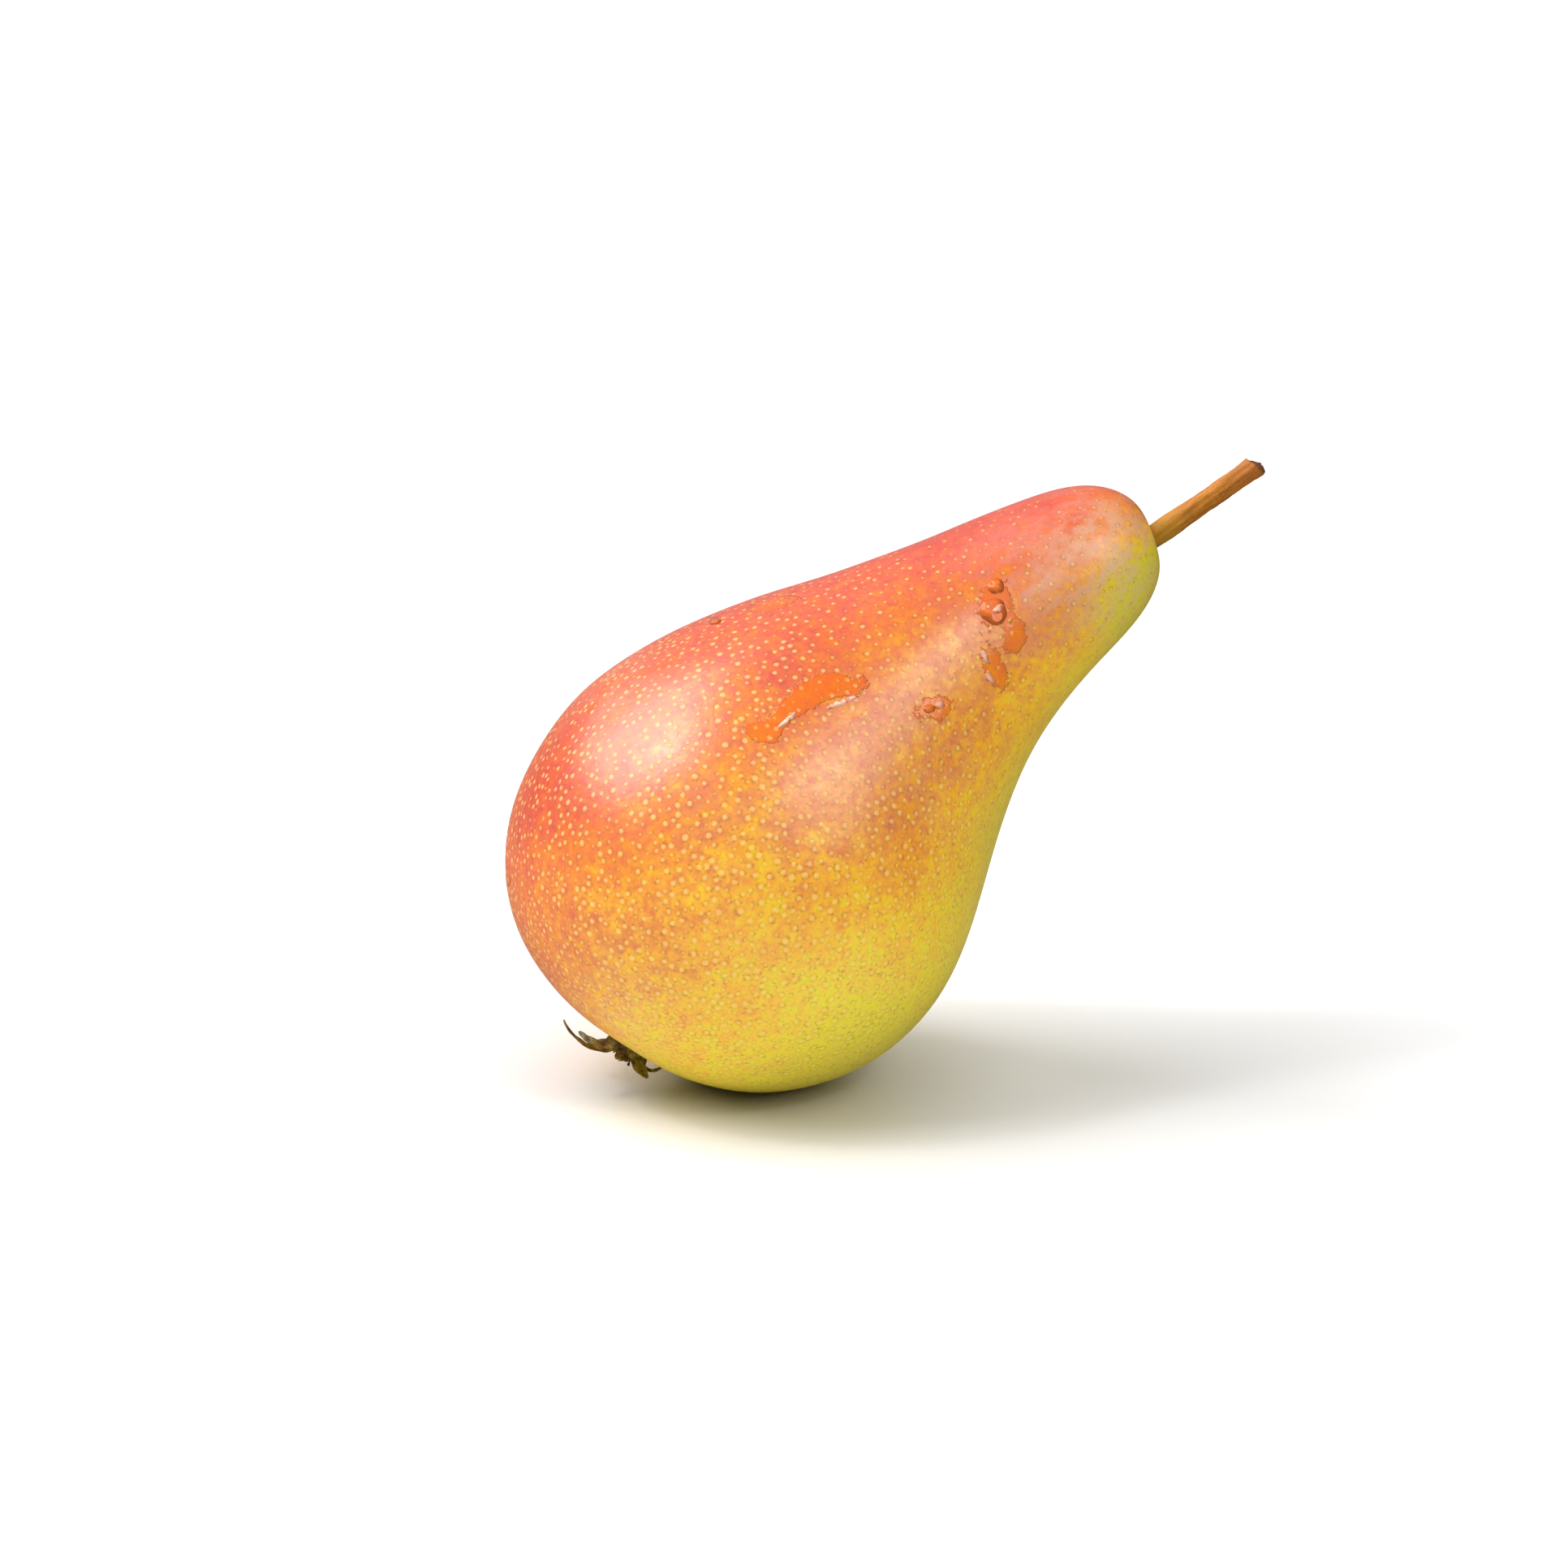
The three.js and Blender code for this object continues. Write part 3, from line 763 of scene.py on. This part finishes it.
CALYX_SIDE = np.cross(CALYX_OUT, FRONT)


def from_calyx(turn, radius, height):
    """The point at a turn about the calyx's axis, so far out from it and so high above the skin."""
    turn, radius, height = (np.asarray(value, float)[..., None] for value in (turn, radius, height))
    out = np.cos(turn) * CALYX_SIDE + np.sin(turn) * FRONT
    return CALYX_CENTRE + radius * out + height * CALYX_OUT


def sepal_surface(turn, reach, rise, tip, width, twist):
    """A closed thin blade: flattened rings along an arching line, narrowing to the tip, with the
    edges curled in towards the hollow side and the whole blade twisted a little."""
    turn = math.radians(turn)
    line = np.array([
        from_calyx(turn, (CUP_RADIUS + CUP_MOUTH) / 2, 0.2),
        from_calyx(turn, 1.1 * CUP_RADIUS, rise),
        from_calyx(turn, 0.4 * CUP_RADIUS + 0.6 * reach, rise + 0.3),
        from_calyx(turn, reach, tip),
    ])
    rings = np.linspace(0, 1, SEPAL_RINGS)[:, None]
    share, angle = np.broadcast_arrays(rings, turns_round(SEPAL_SIDES))
    along = bezier_direction(line, share)
    across = np.cross(CALYX_OUT, from_calyx(turn, 1, 0) - from_calyx(turn, 0, 0))
    through = np.cross(along, across)
    turned = (twist * share)[..., None]
    wide = np.cos(turned) * across + np.sin(turned) * through
    thick = np.cross(along, wide)
    rounded = np.sqrt(np.clip((1 - share) / SEPAL_TIP, 0, 1)).clip(0.12, 1)
    half = width / 2 * (1 - SEPAL_NARROWING * share**1.4) * rounded
    half = half * (1 + SEPAL_WAVINESS * np.sin(9 * share + turn))
    depth = SEPAL_DEPTH - SEPAL_THINNING * share
    side = np.cos(angle)
    curl = SEPAL_CURL * half * side**2 * (0.5 + share)
    midrib = MIDRIB_HEIGHT * np.exp(-((side / MIDRIB_WIDTH) ** 2)) * (1 - share)
    height = depth * np.sin(angle) + curl + midrib * np.sign(np.sin(angle))
    points = bezier(line, share) + (half * side)[..., None] * wide + height[..., None] * thick
    rough = SEPAL_ROUGHNESS * waves(points, 1.6, 12)
    return points + rough[..., None] * thick, line


def cup_surface():
    """The cup turned about its axis: a wall with a rolled uneven rim, and a floor inside."""
    profile = np.array([
        (0.4, CUP_BASE), (CUP_RADIUS - 0.35, CUP_BASE), (CUP_RADIUS, CUP_BASE + 0.35),
        (CUP_RADIUS, -0.9), (CUP_RADIUS * 0.99, 0.2), (CUP_RADIUS * 0.97, 0.8),
        (CUP_RADIUS * 0.9, CUP_TOP), (CUP_RADIUS * 0.8, CUP_TOP + 0.05), (CUP_MOUTH, CUP_TOP - 0.2),
        (CUP_MOUTH * 0.97, 0.4), (CUP_MOUTH * 0.9, CUP_FLOOR + 0.2), (1.2, CUP_FLOOR), (0.4, CUP_FLOOR),
    ])
    steps = np.linspace(0, len(profile) - 1, CUP_RINGS)
    radius = np.interp(steps, np.arange(len(profile)), profile[:, 0])[:, None]
    height = np.interp(steps, np.arange(len(profile)), profile[:, 1])[:, None]
    turn = turns_round(CUP_SIDES)
    rough = CUP_ROUGHNESS * waves(from_calyx(turn, radius, height), 1.3, 21)
    above = np.clip((height + 0.6) / 1.2, 0, 1)
    return from_calyx(turn, radius * (1 + 0.3 * rough * above), height + rough * above)


calyx_parts = [(cup_surface(), from_calyx([0, 0], [0, 0], [CUP_BASE, CUP_FLOOR]))]
for sepal in SEPALS:
    blade, spine = sepal_surface(*sepal)
    calyx_parts.append((blade, np.stack([spine[0], blade[-1].mean(0)])))
calyx_points, calyx_faces = merged(calyx_parts)
calyx = new_piece("calyx_sepals", calyx_points, calyx_faces)
from_centre = calyx_points - CALYX_CENTRE
from_axis = from_centre - (from_centre @ CALYX_OUT)[:, None] * CALYX_OUT
write_attribute(calyx, "outward", "FLOAT", "POINT", np.linalg.norm(from_axis, axis=1))


def sepal_finish():
    """Dried sepals: dark olive brown, tan in places, and grey with down at the tips."""
    finish = Finish(bpy.data.materials.new("dried_sepals"), IOR=DRY_IOR)
    place = finish.place()
    blotches = finish.noise(place, 1.3, 3.0, 0.6)
    grain = finish.noise(place, 0.3, 3.0, 0.6)
    tint = finish.ramp(blotches + (grain - 0.5) * 0.3, [
        (0.28, colour(48, 34, 10)),
        (0.42, colour(92, 68, 16)),
        (0.55, colour(122, 104, 26)),
        (0.70, colour(168, 148, 84)),
    ])
    tip = finish.ease(finish.attribute("outward") + (grain - 0.5) * 2, DOWN_FROM, DOWN_TO)
    tint = finish.mix(tip * 0.5, tint, colour(138, 132, 104))
    finish.feed("Base Color", tint)
    finish.feed("Roughness", 0.62 + grain * 0.25)
    finish.feed("Normal", finish.bump(grain + blotches, 0.10))
    return finish.owner


calyx.data.materials.append(sepal_finish())
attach(calyx, "root")
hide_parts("calyx")

# The stamens
# A tuft of withered threads, all that is left of the flower, standing in the cup on a low mound.
# Some still carry a small dark knob.
STAMEN_COUNT, STAMEN_RINGS, STAMEN_SIDES = 22, 26, 10
STAMEN_HEIGHT, STAMEN_SPREAD, STAMEN_RADIUS = 2.1, 1.15, 0.15
STAMEN_THINNING, STAMEN_KINK, STAMEN_FOOT = 0.35, 0.25, 0.5
KNOB_PLACE, KNOB_LENGTH = 0.93, 0.06
MOUND_RINGS, MOUND_SIDES = 20, 48
MOUND_RADIUS, MOUND_FOOT, MOUND_HEIGHT, MOUND_ROUGHNESS = 1.6, 0.35, 0.75, 0.10
GOLDEN_ANGLE = math.pi * (3 - math.sqrt(5))
stamen_random = np.random.default_rng(7)


def stamen_surface(turn, foot, height, lean, knob):
    """A thread from the mound to its tip: thin rings on a line that bends outwards, with a knob."""
    rings = np.linspace(0, 1, STAMEN_RINGS)[:, None]
    share, angle = np.broadcast_arrays(rings, turns_round(STAMEN_SIDES))
    kink = STAMEN_KINK * np.sin(5 * share + 3 * turn) * share
    raised = CUP_FLOOR + STAMEN_FOOT + (height - CUP_FLOOR) * share
    centre = from_calyx(turn + kink, foot * (1 + lean * share**2), raised)
    end = knob * np.exp(-(((share - KNOB_PLACE) / KNOB_LENGTH) ** 2))
    rounded = np.sqrt(np.clip((1.002 - share) / 0.03, 0, 1)).clip(0.1, 1)
    thin = STAMEN_RADIUS * (1 - STAMEN_THINNING * share + end) * rounded
    across = CALYX_SIDE * np.cos(angle)[..., None] + FRONT * np.sin(angle)[..., None]
    return centre + thin[..., None] * across


def mound_surface():
    """The mound that the threads stand on: rings whose height falls off as a power of a cosine."""
    share = np.linspace(0.1, 1, MOUND_RINGS)[:, None]
    turn = turns_round(MOUND_SIDES)
    height = CUP_FLOOR + MOUND_FOOT + MOUND_HEIGHT * np.cos(share * math.pi / 2) ** 0.6
    rough = MOUND_ROUGHNESS * waves(from_calyx(turn, MOUND_RADIUS * share, height), 0.8, 31)
    return from_calyx(turn, MOUND_RADIUS * share, height + rough)[::-1]


stamen_parts = []
for k in range(STAMEN_COUNT):
    threads = stamen_surface(
        k * GOLDEN_ANGLE,
        STAMEN_SPREAD * math.sqrt((k + 0.5) / STAMEN_COUNT),
        STAMEN_HEIGHT * stamen_random.uniform(0.45, 1.0),
        stamen_random.uniform(0.0, 0.5),
        stamen_random.choice([0.0, 0.9, 1.3]),
    )
    stamen_parts.append((threads, np.stack([threads[0].mean(0), threads[-1].mean(0)])))
mound_foot = CUP_FLOOR + MOUND_FOOT
mound_poles = from_calyx([0, 0], [0, 0], [mound_foot, mound_foot + MOUND_HEIGHT])
stamen_parts.append((mound_surface(), mound_poles))
stamen_points, stamen_faces = merged(stamen_parts)
stamens = new_piece("stamen_tuft", stamen_points, stamen_faces)


def stamen_finish():
    """Withered threads, dark brown with paler flecks."""
    finish = Finish(bpy.data.materials.new("withered_threads"), IOR=DRY_IOR)
    flecks = finish.noise(finish.place(), 0.5, 3.0, 0.6)
    tint = finish.ramp(flecks, [
        (0.35, colour(28, 18, 10)),
        (0.55, colour(62, 40, 20)),
        (0.75, colour(120, 90, 56)),
    ])
    finish.feed("Base Color", tint)
    finish.feed("Roughness", 0.75 + flecks * 0.1)
    finish.feed("Normal", finish.bump(flecks, 0.05))
    return finish.owner


stamens.data.materials.append(stamen_finish())
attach(stamens, "root")
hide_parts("stamens")

# The ground
# A plain white polished surface, wide enough to fade into the white round it. It sends little
# light back to the fruit from the right, and little to its gloss, as its colour is painted darker
# there as shade. Far off it glows, so that the picture stays white, and close round the fruit a
# shadow is painted on it.
GROUND_HALF = 4000
# Olive colours painted on the ground as shade: for its gloss, for its light to the fruit, and as the
# shadow round the fruit.
GROUND_WHITE, GROUND_PAINTED_SHADE = (0.9, 0.9, 0.9, 1), (0.28, 0.26, 0.14, 1)
GROUND_PAINTED_DEEP_SHADE = (0.07, 0.06, 0.02, 1)
DIM_FROM, DIM_TO = 45, 130
FAR_GLOW, GLOW_FROM, GLOW_TO = 0.6, 250, 1500
UNDER_SHADE, UNDER_FROM, UNDER_TO = 0.6, 8, 42
corners = [(x * GROUND_HALF, y * GROUND_HALF, 0) for x, y in ((-1, -1), (1, -1), (1, 1), (-1, 1))]
ground = new_piece("ground", corners, [(0, 1, 2, 3)])


def ground_finish():
    """Polished white that changes with who looks: the camera, the skin's gloss, or soft light. Painted
    shade darkens it to the gloss and, on the right, to soft light, and a painted shadow darkens it
    round the fruit for the camera.
    """
    finish = Finish(bpy.data.materials.new("white_ground"), Roughness=0.3, IOR=1.3)
    in_gloss, in_view = finish.seen_by("Glossy"), finish.seen_by("Camera")
    place = finish.place()
    # Painted shade: to soft light on the right and to the skin's gloss the ground is darker, and darker
    # still in gloss on the right.
    painted_shade_beside = (1 - in_view) * finish.ease(finish.part(place, "X"), DIM_FROM * MM, DIM_TO * MM)
    tint = finish.mix(finish.maths("MAXIMUM", in_gloss, painted_shade_beside), GROUND_WHITE, GROUND_PAINTED_SHADE)
    tint = finish.mix(in_gloss * painted_shade_beside, tint, GROUND_PAINTED_DEEP_SHADE)
    away = finish.distance(place)
    # Painted shadow: close round the fruit the camera sees the ground darker.
    under = in_view * (1 - finish.ease(away, UNDER_FROM * MM, UNDER_TO * MM)) * UNDER_SHADE
    finish.feed("Base Color", finish.mix(under, tint, GROUND_PAINTED_SHADE))
    glow = in_view * finish.ease(away, GLOW_FROM * MM, GLOW_TO * MM)
    finish.feed("Emission Color", finish.mix(glow, (0, 0, 0, 1), (1, 1, 1, 1)))
    finish.feed("Emission Strength", FAR_GLOW)
    return finish.owner


ground.data.materials.append(ground_finish())

# The light
# A white room, darker to the skin's gloss so that its edges keep their colour. Two wide soft lamps
# make the pale hazes on the skin, two small bright ones the glints on the water, and a broad sun
# from the left whitens the ground.
LEFT_LAMP = (-95, 49)
ROOM_LIGHT, BACK_LIGHT, SIDE_SHADE, RIGHT_SHADE = 0.36, 0.70, 0.8, 0.7
GLOSS_SHADE, GLOSS_SHADE_RIGHT = 0.65, 0.96
WHITE_VIEW = 1.05
LAMP_DISTANCE, LAMP_TARGET = 3.0, (5, 5)
SUN_ANGLE, SUN_STRENGTH = math.radians(50), 0.85
room = Finish(bpy.data.worlds.new("white_room"), "Background", Color=(1, 1, 1, 1))
way = room.node("ShaderNodeTexCoord", out="Generated")
way_right = room.part(way, "X")
way_aside = room.maths("ABSOLUTE", way_right) + room.maths("MAXIMUM", way_right) * RIGHT_SHADE
shaded = room.ease(way_aside, 0.2, 0.7) * (1 - room.ease(room.part(way, "Z"), 0.25, 0.5))
lit = ROOM_LIGHT + room.ease(room.part(way, "Y"), 0.35, 0.8) * BACK_LIGHT
on_right = room.ease(way_right, -0.05, 0.3) * (GLOSS_SHADE_RIGHT - GLOSS_SHADE)
gloss_shade = room.seen_by("Glossy") * (GLOSS_SHADE + on_right)
in_view = room.seen_by("Camera")
cast = lit * (1 - shaded * SIDE_SHADE) * (1 - gloss_shade)
room.feed("Strength", cast * (1 - in_view) + in_view * WHITE_VIEW)
bpy.context.scene.world = room.owner


def aimed_lamp(name, kind, bearing, far=0.0, **settings):
    """A lamp that faces the fruit from so many degrees right of the camera's side and up."""
    turn, rise = (math.radians(angle) for angle in bearing)
    level = math.cos(rise)
    way = Vector((math.sin(turn) * level, -math.cos(turn) * level, math.sin(rise)))
    data = bpy.data.lights.new(name, kind)
    for setting, value in settings.items():
        setattr(data, setting, value)
    lamp = bpy.data.objects.new(name, data)
    lamp.location = Vector(in_plane(*LAMP_TARGET) * MM) + way * far
    lamp.rotation_euler = way.to_track_quat("Z", "Y").to_euler()
    bpy.context.scene.collection.objects.link(lamp)


aimed_lamp("broad_sun", "SUN", LEFT_LAMP, angle=SUN_ANGLE, energy=SUN_STRENGTH)
for name, bearing, wide, tall, watts in (
    # name, degrees right and up, width and height in metres, watts
    ("soft_lamp_left", LEFT_LAMP, 2.85, 2.25, 80),
    ("glint_left", (-80, 56), 0.42, 0.28, 14),
    ("glint_right", (40, 42), 0.26, 0.32, 9),
    ("soft_lamp_right", (49, 38), 1.5, 2.1, 33),
):
    lamp_size = {"shape": "RECTANGLE", "size": wide, "size_y": tall}
    aimed_lamp(name, "AREA", bearing, LAMP_DISTANCE, energy=watts, **lamp_size)

# The camera
# A long lens looking 15 degrees down, so that the leaning plane of the fruit faces it squarely.
LENS, SENSOR = 100, 36
PICTURE_SIDE = 1932
PIXELS_PER_MM = 9
BULB_X, BULB_Y = 912, 1052
NEAREST_SEEN, FARTHEST_SEEN = 0.01, 100
middle = PICTURE_SIDE / 2
aim = in_plane((middle - BULB_X) / PIXELS_PER_MM, (BULB_Y - middle) / PIXELS_PER_MM)
camera_distance = PICTURE_SIDE * LENS / SENSOR / PIXELS_PER_MM
camera_data = bpy.data.cameras.new("camera")
camera_data.lens = LENS
camera_data.sensor_width = SENSOR
camera_data.clip_start = NEAREST_SEEN
camera_data.clip_end = FARTHEST_SEEN
camera = bpy.data.objects.new("camera", camera_data)
camera.location = (aim + camera_distance * FRONT) * MM
camera.rotation_euler = (math.pi / 2 - LEAN_BACK, 0, 0)
bpy.context.scene.collection.objects.link(camera)
bpy.context.scene.camera = camera
bpy.context.scene.view_settings.view_transform = "Standard"
